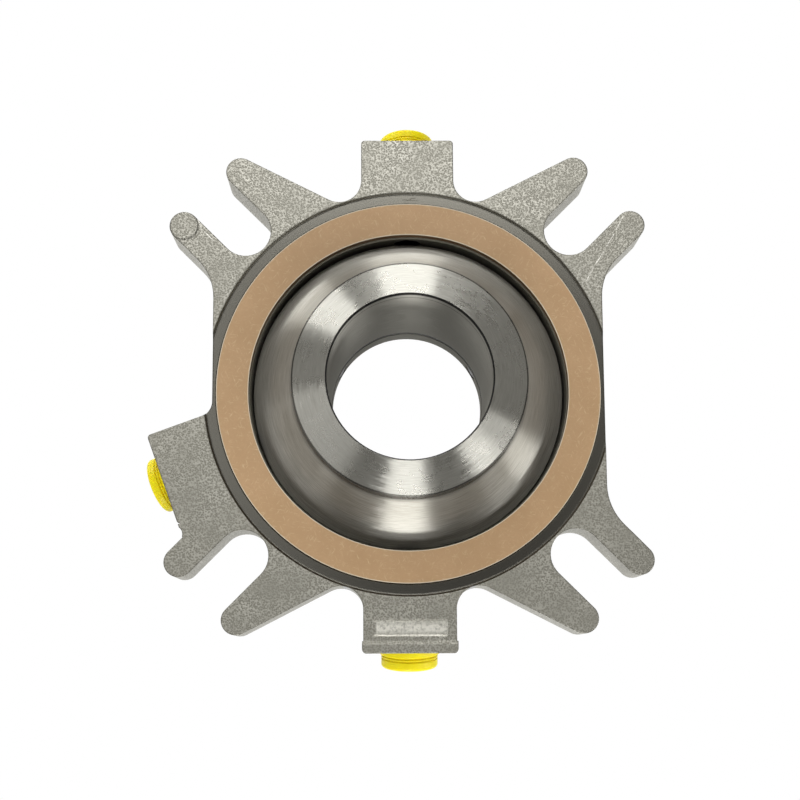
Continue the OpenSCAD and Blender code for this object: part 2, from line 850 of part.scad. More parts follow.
// Throttle bushing: closes the gland's outboard end round the sleeve.
module throttle_bushing() {
    color([0.2, 0.2, 0.2])
        ring(bushing_in_r, bushing_r, back_z + edge_break, back_z + edge_break + bushing_length);
}

module shaft_oring() {
    color([0.08, 0.08, 0.08])
        oring(shaft_r + shaft_oring_d / 2 + screw_fit, shaft_oring_d, -shaft_oring_depth);
}

// Drive collar: carries the set screws, with a groove for the setting clips' tongues.
module drive_collar() {
    color([0.76, 0.76, 0.75])
        difference() {
            rotate_extrude()
                polygon([
                    [sleeve_r, end_z],
                    [collar_r - edge_break, end_z],
                    [collar_r, end_z + edge_break],
                    [collar_r, clip_bottom_z - tongue_fit],
                    [groove_floor_r, clip_bottom_z - tongue_fit],
                    [groove_floor_r, clip_top_z + tongue_fit],
                    [collar_r, clip_top_z + tongue_fit],
                    [collar_r, collar_z - edge_break],
                    [collar_r - edge_break, collar_z],
                    [sleeve_r, collar_z]
                ]);
            for (a = concat(drive_angles, lock_angles))
                rotate([0, 0, a])
                    translate([sleeve_r - cut, 0, set_screw_z])
                        rotate([0, 90, 0])
                            cylinder(r = set_screw_d / 2 + screw_fit, h = collar_r, $fn = small_fn);
        }
}

// A socket set screw on the X axis from r0 out to r1, with a dog point of length dog.
module set_screw(r0, r1, dog) {
    translate([r0, 0, set_screw_z])
        rotate([0, 90, 0])
            difference() {
                union() {
                    cylinder(r = set_screw_d / 2 - point_step, h = dog + cut, $fn = small_fn);
                    translate([0, 0, dog])
                        cylinder(r = set_screw_d / 2, h = r1 - r0 - dog, $fn = small_fn);
                }
                translate([0, 0, r1 - r0 - socket_depth])
                    cylinder(r = set_screw_hex / 2, h = socket_depth + cut, $fn = 6);
            }
}

// Three cup point screws that will grip the shaft, shipped clear of the bore.
module shaft_drive_screws() {
    color([0.3, 0.3, 0.32])
        for (a = drive_angles)
            rotate([0, 0, a])
                set_screw(shaft_r + tip_setback, collar_r - head_recess, cup_point);
}

// Three dog point screws that lock the collar in dimples of the sleeve.
module collar_lock_screws() {
    color([0.3, 0.3, 0.32])
        for (a = lock_angles)
            rotate([0, 0, a])
                set_screw(sleeve_r - dimple_depth, collar_r - head_recess, dog_point);
}

// A setting clip: a round body under its screw and a tongue with a round end in the collar's groove.
module setting_clip(angle) {
    color([0.80, 0.66, 0.32])
        rotate([0, 0, angle])
            translate([clip_screw_r, 0, clip_bottom_z])
                difference() {
                    union() {
                        cylinder(r = clip_r, h = clip_tongue + clip_rise, $fn = 64);
                        intersection() {
                            cylinder(r = tongue_reach, h = clip_tongue);
                            translate([-tongue_reach - cut, -clip_tongue_width / 2, 0])
                                cube([tongue_reach + cut, clip_tongue_width, clip_tongue]);
                        }
                    }
                    translate([0, 0, -cut])
                        cylinder(r = clip_screw_d / 2 + screw_fit, h = clip_tongue + clip_rise + 2 * cut,
                            $fn = 48);
                }
}

module setting_clip_1() {
    setting_clip(clip_angles[0]);
}

module setting_clip_2() {
    setting_clip(clip_angles[1]);
}

module setting_clip_3() {
    setting_clip(clip_angles[2]);
}

// Three socket cap screws, one through each clip into the gland.
module clip_screws() {
    head_r = clip_screw_d * head_ratio;
    color([0.6, 0.6, 0.6])
        for (a = clip_angles)
            rotate([0, 0, a])
                translate([clip_screw_r, 0, clip_bottom_z])
                    difference() {
                        union() {
                            translate([0, 0, -clip_screw_d])
                                cylinder(r = head_r, h = clip_screw_d, $fn = 48);
                            translate([0, 0, -cut])
                                cylinder(r = clip_screw_d / 2,
                                    h = clip_tongue + clip_rise + clip_screw_grip + cut, $fn = 48);
                        }
                        translate([0, 0, -clip_screw_d - cut])
                            cylinder(r = clip_screw_d * socket_ratio, h = clip_screw_d / 2 + cut, $fn = 6);
                    }
}

gland();
gland_gasket();
flush_port_plug();
side_port_plug();
drain_port_plug();
sleeve();
rotary_face();
rotary_face_oring();
rotary_drive_pins();
stationary_face();
stationary_face_oring();
spring_plate();
face_springs();
anti_rotation_pins();
throttle_bushing();
shaft_oring();
drive_collar();
shaft_drive_screws();
collar_lock_screws();
setting_clip_1();
setting_clip_2();
setting_clip_3();
clip_screws();
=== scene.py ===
# Cartridge mechanical seal, standing on its drive collar with the pump side up, on a white sweep.
# Metres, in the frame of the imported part: origin on the shaft axis in the gasket's sealing face, +Z up to
# the pump side, +Y to the flush port.
import math
import bpy
from mathutils import Matrix, Vector


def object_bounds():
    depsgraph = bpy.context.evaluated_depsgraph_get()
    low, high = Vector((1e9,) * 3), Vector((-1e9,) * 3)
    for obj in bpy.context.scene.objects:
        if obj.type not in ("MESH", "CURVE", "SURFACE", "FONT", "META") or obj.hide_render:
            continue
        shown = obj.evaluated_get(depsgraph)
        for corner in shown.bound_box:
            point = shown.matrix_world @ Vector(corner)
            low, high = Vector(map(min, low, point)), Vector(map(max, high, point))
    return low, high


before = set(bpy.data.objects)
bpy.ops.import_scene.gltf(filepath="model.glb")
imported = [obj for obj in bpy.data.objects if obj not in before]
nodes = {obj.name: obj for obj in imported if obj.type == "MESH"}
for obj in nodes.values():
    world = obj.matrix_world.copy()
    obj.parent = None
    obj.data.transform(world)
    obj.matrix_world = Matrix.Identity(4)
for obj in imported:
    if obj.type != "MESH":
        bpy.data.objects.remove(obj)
bounds_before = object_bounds()


# Gland
# The end plate that holds the pressure: an investment casting in stainless steel, bead blasted all over and
# then turned in one clamping for the gasket seat, the band round it, the chamber and the back face. Studs
# through the slots between its fingers clamp it to the pump.
mm = 0.001
cast_z = -0.40 * mm
back_z = -26.40 * mm
band_r = 58.0 * mm
chamber_r = 45.25 * mm

# Scratches and cracks in the top face and the band, each from a start to an end, in millimetres.
bright_scratches = [
    ((62.4, 51.2), (59.9, 46.4)), ((59.6, 45.6), (57.0, 41.6)), ((56.4, 40.4), (53.9, 36.6)),
    ((53.4, 35.8), (51.0, 31.5)), ((-60.3, 50.2), (-59.2, 47.4)), ((-58.4, 46.6), (-55.6, 43.6)),
    ((-51.9, 64.2), (-50.8, 65.5)), ((-60.2, 44.2), (-60.4, 42.0))]
hairline_cracks = [
    ((5.8, 69.0), (6.9, 64.5)), ((6.9, 64.5), (7.9, 61.4)), ((-60.0, 50.6), (-56.0, 46.2)),
    ((-61.6, 44.4), (-59.9, 41.6)), ((61.2, 50.8), (54.6, 42.8))]
band_dents = [((-1.6, 55.9), (3.2, 55.6)), ((-0.4, 55.5), (1.4, 56.2)), ((0.8, 56.3), (2.6, 56.4))]
pale_pad_strip = ((-9.6, -66.6), (10.6, -66.6))


def linear(hex_colour):
    """A linear RGBA colour from an sRGB hex string."""
    channels = [int(hex_colour[i:i + 2], 16) / 255 for i in (0, 2, 4)]
    return [c / 12.92 if c <= 0.04045 else ((c + 0.055) / 1.055) ** 2.4 for c in channels] + [1.0]


def add(kind, inputs=None, **settings):
    """Adds a shader node with its settings to the tree in hand, and sets or links its inputs.

    An input is named, or numbered where names repeat. It takes a value, a socket, or a node, of which the
    first output in use is linked.
    """
    made = tree.nodes.new("ShaderNode" + kind)
    for name, value in settings.items():
        setattr(made, name, value)
    for key, value in (inputs or {}).items():
        if isinstance(key, int):
            socket = made.inputs[key]
        else:
            socket = next(each for each in made.inputs if each.enabled and each.name == key)
        if isinstance(value, bpy.types.Node):
            value = next(each for each in value.outputs if each.enabled)
        if isinstance(value, bpy.types.NodeSocket):
            tree.links.new(value, socket)
        else:
            socket.default_value = value
    return made


def new_material(name):
    """A material with an empty node tree, and that tree, which add() then fills."""
    made = bpy.data.materials.new(name)
    made.use_nodes = True
    made.node_tree.nodes.clear()
    return made, made.node_tree


def dress(material, shader_inputs, *names):
    """Ends a material in a Principled shader with these inputs, and puts it on these CAD nodes."""
    add("OutputMaterial", {"Surface": add("BsdfPrincipled", shader_inputs)})
    for name in names:
        slots = nodes[name].data.materials
        slots.clear()
        slots.append(material)


def about_shaft(place):
    """Radius from the shaft axis, height, and a coordinate that stays the same all round each turned ring."""
    split = add("SeparateXYZ", {0: place})
    height = split.outputs["Z"]
    x_square = add("Math", {0: split.outputs["X"], 1: split.outputs["X"]}, operation="MULTIPLY")
    y_square = add("Math", {0: split.outputs["Y"], 1: split.outputs["Y"]}, operation="MULTIPLY")
    radius = add("Math", {0: add("Math", {0: x_square, 1: y_square}, operation="ADD")}, operation="SQRT")
    return radius, height, add("CombineXYZ", {"X": radius, "Z": height})


def stroke(place, ends, width):
    """1 on a scratch between two ends, all in millimetres on faces that look up, fading out at its sides."""
    start, end = ends
    run = (end[0] - start[0], end[1] - start[1])
    half = math.hypot(*run) / 2 * mm
    fade = 0.4 * mm
    line = add("Mapping", {"Vector": place, "Location": (start[0] * mm, start[1] * mm, 0),
                           "Rotation": (0, 0, math.atan2(run[1], run[0]))}, vector_type="TEXTURE")
    split = add("SeparateXYZ", {0: line})
    beside = add("Math", {0: split.outputs["Y"]}, operation="ABSOLUTE")
    across = add("MapRange", {"Value": beside, "From Min": width * mm, "From Max": width / 4 * mm})
    from_middle = add("Math", {0: split.outputs["X"], 1: half}, operation="SUBTRACT")
    from_middle = add("Math", {0: from_middle}, operation="ABSOLUTE")
    along = add("MapRange", {"Value": from_middle, "From Min": half, "From Max": half - fade})
    return add("Math", {0: across, 1: along}, operation="MULTIPLY")


def scratches(place, lines, width):
    """The strokes of several scratches together."""
    joined = stroke(place, lines[0], width)
    for ends in lines[1:]:
        joined = add("Math", {0: joined, 1: stroke(place, ends, width)}, operation="MAXIMUM")
    return joined


# Stainless steel, cast and bead blasted: the beads leave overlapping dimples about half a millimetre across,
# and their rims catch the light as short bright worms, so the metal looks pale and silky and mirrors nothing.
# The rims are painted paler as well, a painted glint. The turned faces are painted darker, a painted
# reflection of the dark room that they mirror in fine rings, and the chamber wall is painted lighter than
# them, as painted light.
cast, tree = new_material("stainless_cast_and_bead_blasted")
place = add("TexCoord").outputs["Object"]
radius, height, ring = about_shaft(place)

in_band = add("MapRange", {"Value": radius, "From Min": band_r + 0.15 * mm, "From Max": band_r})
below_cast = add("MapRange", {"Value": height, "From Min": cast_z - 0.02 * mm,
                              "From Max": cast_z - 0.08 * mm})
on_back = add("MapRange", {"Value": height, "From Min": back_z + 0.05 * mm, "From Max": back_z + 0.02 * mm})
turned_front = add("Math", {0: in_band, 1: below_cast}, operation="MULTIPLY")
machined = add("Math", {0: turned_front, 1: on_back}, operation="MAXIMUM", use_clamp=True)
in_chamber = add("MapRange", {"Value": radius, "From Min": chamber_r + 0.10 * mm, "From Max": chamber_r})
on_top = add("MapRange", {"Value": height, "From Min": cast_z - 0.20 * mm, "From Max": cast_z - 0.15 * mm})

# The dimples are cells pushed about by a slow noise, which makes their rims run together.
drift = add("TexNoise", {"Vector": place, "Scale": 1 / (1.43 * mm)})
pushed = add("CombineXYZ", {"X": add("Math", {0: drift, 1: 0.6 * mm}, operation="MULTIPLY")})
pushed = add("VectorMath", {0: place, 1: pushed}, operation="ADD")
dimples = add("TexVoronoi", {"Vector": pushed, "Scale": 1 / (0.526 * mm)})
grain = add("TexNoise", {"Vector": place, "Scale": 1 / (0.238 * mm), "Roughness": 0.6})
clouds = add("TexNoise", {"Vector": place, "Scale": 1 / (8.33 * mm)})
# The tool marks are drawn six to the millimetre, coarser than the real feed, so that they show.
rings = add("TexNoise", {"Vector": ring, "Scale": 1 / (0.1667 * mm), "Roughness": 0.7})
rims = add("Math", {0: grain, 1: 0.5, 2: dimples}, operation="MULTIPLY_ADD")
rims = add("MapRange", {"Value": rims, "From Min": 0.62, "From Max": 0.95})

# The dimple rims are painted paler: a painted glint, besides the light that their bump catches.
blasted = add("Mix", {"Factor": rims, "A": linear("8E8C82"), "B": linear("C3C1B7")}, data_type="RGBA")
cloudy = add("MapRange", {"Value": clouds, "From Min": 0.3, "From Max": 0.7, "To Max": 0.7})
blasted = add("Mix", {"Factor": cloudy, "A": blasted, "B": linear("9C9A90")}, data_type="RGBA")
# The turned faces are painted darker than the blasted metal: a painted reflection of the dark room. The
# chamber wall is painted lighter than them: painted light falling into the chamber.
turned = add("Mix", {"Factor": rings, "A": linear("64625B"), "B": linear("716F68")}, data_type="RGBA")
turned = add("Mix", {"Factor": in_chamber, "A": turned, "B": linear("99978D")}, data_type="RGBA")

# The drain boss's pad is painted paler, and only in patches.
pad_patches = add("TexNoise", {"Vector": place, "Scale": 1 / (1.11 * mm), "Detail": 3.0, "Roughness": 0.6})
pad_patches = add("MapRange", {"Value": pad_patches, "From Min": 0.25, "From Max": 0.55})
pad_patches = add("Math", {0: on_top, 1: pad_patches}, operation="MULTIPLY")
pale_pad_patches = add("Math", {0: stroke(place, pale_pad_strip, 2.4), 1: pad_patches}, operation="MULTIPLY")
blasted = add("Mix", {"Factor": pale_pad_patches, "A": blasted, "B": linear("F0EEE4")}, data_type="RGBA")
base = add("Mix", {"Factor": machined, "A": blasted, "B": turned}, data_type="RGBA")

# Cast edges have a small radius, and they are painted a shade darker: a painted dark reflection of the dim
# sides beyond them.
round_edge = add("Bevel", {"Radius": 0.6 * mm}, samples=6)
true_normal = add("NewGeometry").outputs["True Normal"]
facing = add("VectorMath", {0: round_edge, 1: true_normal}, operation="DOT_PRODUCT")
edge_painted_shade = add("MapRange", {"Value": facing, "From Min": 0.99, "From Max": 0.90, "To Max": 0.6})
base = add("Mix", {"Factor": edge_painted_shade, "A": base, "B": linear("45433C")}, data_type="RGBA")

faint_on_top = add("Math", {0: on_top, 1: 0.4}, operation="MULTIPLY")
dark_marks = add("Math", {0: scratches(place, hairline_cracks, 0.16), 1: faint_on_top}, operation="MULTIPLY")
dark_marks = add("Math", {0: dark_marks, 1: scratches(place, band_dents, 0.14)}, operation="MAXIMUM")
base = add("Mix", {"Factor": dark_marks, "A": base, "B": linear("4A463F")}, data_type="RGBA")
broken = add("MapRange", {"Value": grain, "From Min": 0.35, "From Max": 0.55})
broken = add("Math", {0: on_top, 1: broken}, operation="MULTIPLY")
bright_marks = add("Math", {0: scratches(place, bright_scratches, 0.20), 1: broken}, operation="MULTIPLY")
base = add("Mix", {"Factor": bright_marks, "A": base, "B": linear("F4F2EA")}, data_type="RGBA")

turned_rough = add("Mix", {"Factor": rings, "A": 0.24, "B": 0.28})
turned_rough = add("Mix", {"Factor": in_chamber, "A": turned_rough, "B": 0.4})
blasted_rough = add("Mix", {"Factor": rims, "A": 0.52, "B": 0.44})
rough = add("Mix", {"Factor": machined, "A": blasted_rough, "B": turned_rough})
blasted_relief = add("Math", {0: grain, 1: 0.25, 2: dimples}, operation="MULTIPLY_ADD")
turned_relief = add("Math", {0: rings, 1: 0.015}, operation="MULTIPLY")
relief = add("Mix", {"Factor": machined, "A": blasted_relief, "B": turned_relief})
surface = add("Bump", {"Height": relief, "Strength": 0.28, "Distance": 0.12 * mm, "Normal": round_edge})
dress(cast, {"Base Color": base, "Metallic": 1.0, "Roughness": rough, "Normal": surface}, "gland")


# Gasket
# Flat ring punched from compressed fibre sheet and glued to the gland's seat. Stud load squeezes it between
# the gland and the pump's face.
gasket_outer_r = 54.22 * mm
gasket_inner_r = 45.42 * mm
cut_edge = 0.14 * mm

# Compressed fibre sheet, punched: a matt tan with short pale fibres lying every way in it. Its cut edges are
# paler and slightly fuzzy, and its wall is painted a darker brown: painted shade under the edge.
gasket, tree = new_material("compressed_fibre_sheet_punched")
place = add("TexCoord").outputs["Object"]
radius, height = about_shaft(place)[:2]
outer_edge = add("MapRange", {"Value": radius, "From Min": gasket_outer_r - cut_edge,
                              "From Max": gasket_outer_r})
inner_edge = add("MapRange", {"Value": radius, "From Min": gasket_inner_r + cut_edge,
                              "From Max": gasket_inner_r})
at_edge = add("Math", {0: outer_edge, 1: inner_edge}, operation="MAXIMUM")
on_wall = add("MapRange", {"Value": height, "From Min": -0.30 * mm, "From Max": -0.55 * mm})
cloud = add("TexNoise", {"Vector": place, "Scale": 1 / (11.1 * mm), "Detail": 3.0, "Roughness": 0.6})
cloud = add("MapRange", {"Value": cloud, "From Min": 0.3, "From Max": 0.7})
speck = add("TexNoise", {"Vector": place, "Scale": 1 / (0.714 * mm), "Detail": 3.0, "Roughness": 0.7})
speckled = add("MapRange", {"Value": speck, "From Min": 0.30, "From Max": 0.75})

# Three layers of fibres, each turned its own way and six times as long as wide. A real fibre is a few
# hundredths of a millimetre thick: these are drawn about ten times coarser, so that they show.
fibres = None
for turn, fibre_width in ((0.4, 0.435), (1.4, 0.400), (2.5, 0.476)):
    drawn_out = add("Mapping", {"Vector": place, "Rotation": (0, 0, turn), "Scale": (1.0, 6.0, 1.0)},
                    vector_type="TEXTURE")
    layer = add("TexNoise", {"Vector": drawn_out, "Scale": 1 / (fibre_width * mm)})
    layer = add("MapRange", {"Value": layer, "From Min": 0.62, "From Max": 0.76})
    fibres = layer if fibres is None else add("Math", {0: fibres, 1: layer}, operation="MAXIMUM")
faint_fibres = add("Math", {0: fibres, 1: 0.5}, operation="MULTIPLY")

sheet = add("Mix", {"Factor": cloud, "A": linear("B4926A"), "B": linear("C3A079")}, data_type="RGBA")
sheet = add("Mix", {"Factor": speckled, "A": sheet, "B": linear("B8966F")}, data_type="RGBA")
sheet = add("Mix", {"Factor": faint_fibres, "A": sheet, "B": linear("DCC59F")}, data_type="RGBA")
# Pale at the top of the cut edge; the wall below it is painted dark brown, a painted shade.
pale_edge_and_wall_shade = add("Mix", {"Factor": on_wall, "A": linear("DCD0B8"), "B": linear("6B5036")}, data_type="RGBA")
base = add("Mix", {"Factor": at_edge, "A": sheet, "B": pale_edge_and_wall_shade}, data_type="RGBA")
relief = add("Math", {0: fibres, 1: 0.4, 2: speck}, operation="MULTIPLY_ADD")
surface = add("Bump", {"Height": relief, "Strength": 0.5, "Distance": 0.08 * mm})
dress(gasket, {"Base Color": base, "Roughness": 0.48, "IOR": 1.45, "Normal": surface}, "gland_gasket")


# Port plugs
# Three shipping plugs, injection moulded in one piece with a rim and a ridged shank. They are screwed in by
# hand and come out when the pipes are fitted.

# Polyethylene, injection moulded: a bright yellow with a soft, waxy gloss. Light gets a little way into it,
# so its shaded side still glows.
plug, tree = new_material("polyethylene_injection_moulded_yellow")
place = add("TexCoord").outputs["Object"]
wave = add("TexNoise", {"Vector": place, "Scale": 1 / (4.55 * mm)})
base = add("Mix", {"Factor": wave, "A": linear("F6E000"), "B": linear("FFEE04")}, data_type="RGBA")
round_edge = add("Bevel", {"Radius": 0.4 * mm}, samples=6)
surface = add("Bump", {"Height": wave, "Strength": 0.25, "Distance": 0.1 * mm, "Normal": round_edge})
dress(plug, {"Base Color": base, "Roughness": 0.42, "IOR": 1.51, "Specular IOR Level": 0.3,
             "Subsurface Weight": 0.3, "Subsurface Radius": (3.0 * mm, 2.4 * mm, 0.2 * mm),
             "Subsurface Scale": 1.0, "Normal": surface},
      "flush_port_plug", "side_port_plug", "drain_port_plug")


# Sleeve and drive collar
# The sleeve slides over the shaft and carries the rotor head, a cone, a neck and a nose turned with it from
# one bar. The collar is turned from stainless bar as well, and its set screws drive the sleeve.
bore_r = 22.5 * mm
lead_in_r = 22.9 * mm
lead_in_z = 21.5 * mm
cone_top_z = 13.3 * mm
neck_top_z = 18.4 * mm

# Stainless bar, turned: fine rings round the axis stretch each highlight across them into a fan. The lay of
# the grooves wanders a little, which frays the fans' borders into streaks, and lapping the nose has left
# faint swirls on it. The cone is smoother towards its neck, and the bore is the dullest.
steel, tree = new_material("stainless_bar_turned")
place = add("TexCoord").outputs["Object"]
radius, height, ring = about_shaft(place)
split = add("SeparateXYZ", {0: place})
cosine = add("Math", {0: split.outputs["X"], 1: radius}, operation="DIVIDE")
sine = add("Math", {0: split.outputs["Y"], 1: radius}, operation="DIVIDE")

# Streaks run round the axis: short steps along the profile, long ones round it. They are drawn three or four
# to the millimetre, coarser than the real grooves, so that they show.
profile = add("Math", {0: height, 1: 0.8}, operation="MULTIPLY")
profile = add("Math", {0: radius, 1: profile}, operation="SUBTRACT")
lay = add("CombineXYZ", {"X": add("Math", {0: cosine, 1: 6.0}, operation="MULTIPLY"),
                         "Y": add("Math", {0: sine, 1: 6.0}, operation="MULTIPLY"),
                         "Z": add("Math", {0: profile, 1: 1 / (0.2857 * mm)}, operation="MULTIPLY")})
streaks = add("TexNoise", {"Vector": lay, "Scale": 1.0, "Detail": 3.0, "Roughness": 0.6})
swirls = add("TexNoise", {"Vector": place, "Scale": 1 / (0.5 * mm), "Detail": 3.0, "Roughness": 0.6,
                          "Distortion": 2.0})
above_neck = add("MapRange", {"Value": height, "From Min": neck_top_z + 0.1 * mm,
                              "From Max": neck_top_z + 0.4 * mm})
outside_bore = add("MapRange", {"Value": radius, "From Min": bore_r + 0.2 * mm,
                                "From Max": bore_r + 0.4 * mm})
on_nose = add("Math", {0: above_neck, 1: outside_bore}, operation="MULTIPLY")
lapped_lay = add("Mix", {"Factor": 0.12, "A": streaks, "B": swirls})
wander = add("Mix", {"Factor": on_nose, "A": streaks, "B": lapped_lay})
streaky = add("MapRange", {"Value": wander, "From Min": 0.3, "From Max": 0.7})

# Where each surface of the profile lies.
on_cone = add("MapRange", {"Value": height, "From Min": cone_top_z + 0.2 * mm,
                           "From Max": cone_top_z - 0.1 * mm})
towards_rim = add("MapRange", {"Value": radius, "From Min": 35.0 * mm, "From Max": 43.0 * mm})
in_bore = add("MapRange", {"Value": radius, "From Min": bore_r + 0.15 * mm, "From Max": bore_r + 0.05 * mm})
above_cone = add("MapRange", {"Value": height, "From Min": cone_top_z - 1.7 * mm,
                              "From Max": cone_top_z + 0.3 * mm})
below_nose = add("MapRange", {"Value": height, "From Min": neck_top_z + 0.02 * mm,
                              "From Max": neck_top_z - 0.02 * mm})
on_neck = add("Math", {0: above_cone, 1: below_nose}, operation="MULTIPLY")
edge_start = add("MapRange", {"Value": height, "From Min": neck_top_z - 0.03 * mm,
                              "From Max": neck_top_z + 0.01 * mm})
edge_end = add("MapRange", {"Value": height, "From Min": neck_top_z + 0.48 * mm,
                            "From Max": neck_top_z + 0.42 * mm, "To Max": 0.85})
on_nose_edge = add("Math", {0: edge_start, 1: edge_end}, operation="MULTIPLY")
inside_lead_in = add("MapRange", {"Value": radius, "From Min": lead_in_r + 0.06 * mm, "From Max": lead_in_r})
above_lead_in = add("MapRange", {"Value": height, "From Min": lead_in_z - 0.1 * mm,
                                 "From Max": lead_in_z + 0.1 * mm})
outside_wall = add("MapRange", {"Value": radius, "From Min": bore_r - 0.02 * mm,
                                "From Max": bore_r + 0.01 * mm})
on_lead_in = add("Math", {0: above_lead_in, 1: outside_wall}, operation="MULTIPLY")
on_lead_in = add("Math", {0: inside_lead_in, 1: on_lead_in}, operation="MULTIPLY")

# The neck, the round of the nose and the lead-in chamfer are painted dark: painted dark reflections of the
# chamber and room that they mirror.
nose_metal = add("Mix", {"Factor": streaky, "A": linear("A19F97"), "B": linear("B9B8B1")}, data_type="RGBA")
cone_metal = add("Mix", {"Factor": streaky, "A": linear("A5A298"), "B": linear("D6D4CC")}, data_type="RGBA")
# The cone is painted darker towards its neck than at its rim: painted light at the rim, which stands in for
# the light that the chamber wall keeps off it.
cone_painted_darker_at_neck = add("Mix", {"Factor": 0.45, "A": cone_metal, "B": linear("807D74")}, data_type="RGBA")
cone_metal = add("Mix", {"Factor": towards_rim, "A": cone_painted_darker_at_neck, "B": cone_metal}, data_type="RGBA")
bore_metal = add("Mix", {"Factor": streaks, "A": linear("8E8C84"), "B": linear("A3A199")}, data_type="RGBA")
metal = add("Mix", {"Factor": on_cone, "A": nose_metal, "B": cone_metal}, data_type="RGBA")
metal = add("Mix", {"Factor": on_neck, "A": metal, "B": linear("64625D")}, data_type="RGBA")
metal = add("Mix", {"Factor": in_bore, "A": metal, "B": bore_metal}, data_type="RGBA")
metal = add("Mix", {"Factor": on_nose_edge, "A": metal, "B": linear("3A3834")}, data_type="RGBA")
metal = add("Mix", {"Factor": on_lead_in, "A": metal, "B": linear("2B2A28")}, data_type="RGBA")

patches = add("TexNoise", {"Vector": place, "Scale": 1 / (6.25 * mm), "Detail": 4.0, "Roughness": 0.65,
                           "Distortion": 1.2})
patches = add("MapRange", {"Value": patches, "From Min": 0.35, "From Max": 0.7})
lapped_rough = add("Mix", {"Factor": patches, "A": 0.26, "B": 0.31})
turned_rough = add("Mix", {"Factor": towards_rim, "A": 0.34, "B": 0.48})
turned_rough = add("Mix", {"Factor": in_bore, "A": turned_rough, "B": 0.6})
not_lapped = add("Math", {0: on_cone, 1: in_bore}, operation="MAXIMUM")
rough = add("Mix", {"Factor": not_lapped, "A": lapped_rough, "B": turned_rough})

# Grooves nine to the millimetre, then the normal leans round the axis as their lay wanders.
grooves = add("TexNoise", {"Vector": ring, "Scale": 1 / (0.1111 * mm), "Detail": 3.0, "Roughness": 0.7})
soft_edge = add("Bevel", {"Radius": 0.1 * mm}, samples=6)
grooved = add("Bump", {"Height": grooves, "Strength": 0.35, "Distance": 0.012 * mm, "Normal": soft_edge})
lean_share = add("Mix", {"Factor": in_bore, "A": 0.16, "B": 0.9})
lean = add("Math", {0: wander, 1: 0.5}, operation="SUBTRACT")
lean = add("Math", {0: lean, 1: lean_share}, operation="MULTIPLY")
lean_back = add("Math", {0: lean, 1: -1.0}, operation="MULTIPLY")
sideways = add("CombineXYZ", {"X": add("Math", {0: sine, 1: lean_back}, operation="MULTIPLY"),
                              "Y": add("Math", {0: cosine, 1: lean}, operation="MULTIPLY")})
leaning = add("VectorMath", {0: grooved, 1: sideways}, operation="ADD")
surface = add("VectorMath", {0: leaning}, operation="NORMALIZE")
round_axis = add("Tangent", direction_type="RADIAL", axis="Z")
dress(steel, {"Base Color": metal, "Metallic": 1.0, "Roughness": rough, "Anisotropic": 1.0,
              "Anisotropic Rotation": 0.25, "Tangent": round_axis, "Normal": surface},
      "sleeve", "drive_collar")


# Seal faces
# Two flat lapped rings that run on each other. The rotary face sits in the back of the rotor head and is
# driven by its pins, and the stationary face floats in the gland on its springs.

# Silicon carbide, sintered and lapped: a dark blue-grey with a hard, glassy sheen.
carbide, tree = new_material("silicon_carbide_sintered_and_lapped")
place = add("TexCoord").outputs["Object"]
specks = add("TexNoise", {"Vector": place, "Scale": 1 / (0.2 * mm), "Roughness": 0.6})
base = add("Mix", {"Factor": specks, "A": linear("33353A"), "B": linear("464950")}, data_type="RGBA")
dress(carbide, {"Base Color": base, "Roughness": 0.24, "IOR": 2.4}, "rotary_face")

# Carbon graphite, moulded and lapped: a soft black with a dull, greasy sheen.
carbon, tree = new_material("carbon_graphite_moulded_and_lapped")
place = add("TexCoord").outputs["Object"]
specks = add("TexNoise", {"Vector": place, "Scale": 1 / (0.25 * mm), "Roughness": 0.6})
base = add("Mix", {"Factor": specks, "A": linear("161617"), "B": linear("252526")}, data_type="RGBA")
rough = add("Mix", {"Factor": specks, "A": 0.42, "B": 0.55})
dress(carbon, {"Base Color": base, "Roughness": rough, "IOR": 1.8}, "stationary_face")


# O-rings
# One seals each face in its seat, and one seals the sleeve on the shaft. Moulded, and pushed into their
# grooves with a thin film of grease.

# Fluorocarbon rubber, moulded: black and matt, with a wet gleam where the grease lies.
rubber, tree = new_material("fluorocarbon_rubber_moulded")
place = add("TexCoord").outputs["Object"]
film = add("TexNoise", {"Vector": place, "Scale": 1 / (1.43 * mm)})
base = add("Mix", {"Factor": film, "A": linear("0E0E0E"), "B": linear("1A1A1A")}, data_type="RGBA")
rough = add("Mix", {"Factor": film, "A": 0.38, "B": 0.55})
dress(rubber, {"Base Color": base, "Roughness": rough, "IOR": 1.52},
      "rotary_face_oring", "stationary_face_oring", "shaft_oring")


# Springs, plate and pins
# Six springs coiled from drawn stainless wire push on a blanked plate behind the stationary face. Ground
# dowels, pressed into their holes, drive one face and keep the other from turning.

# Stainless wire and ground pins: bright steel, with fine marks from drawing and grinding.
bright, tree = new_material("stainless_wire_and_ground_pin")
place = add("TexCoord").outputs["Object"]
draw = add("TexNoise", {"Vector": place, "Scale": 1 / (0.333 * mm), "Roughness": 0.6})
base = add("Mix", {"Factor": draw, "A": linear("B4B4B2"), "B": linear("D0D0CE")}, data_type="RGBA")
rough = add("Mix", {"Factor": draw, "A": 0.22, "B": 0.34})
dress(bright, {"Base Color": base, "Metallic": 1.0, "Roughness": rough},
      "face_springs", "spring_plate", "rotary_drive_pins", "anti_rotation_pins")


# Throttle bushing
# A plain ring round the sleeve, turned from filled PTFE and pressed into the outboard end of the gland. It
# chokes the leak if the seal faces fail.

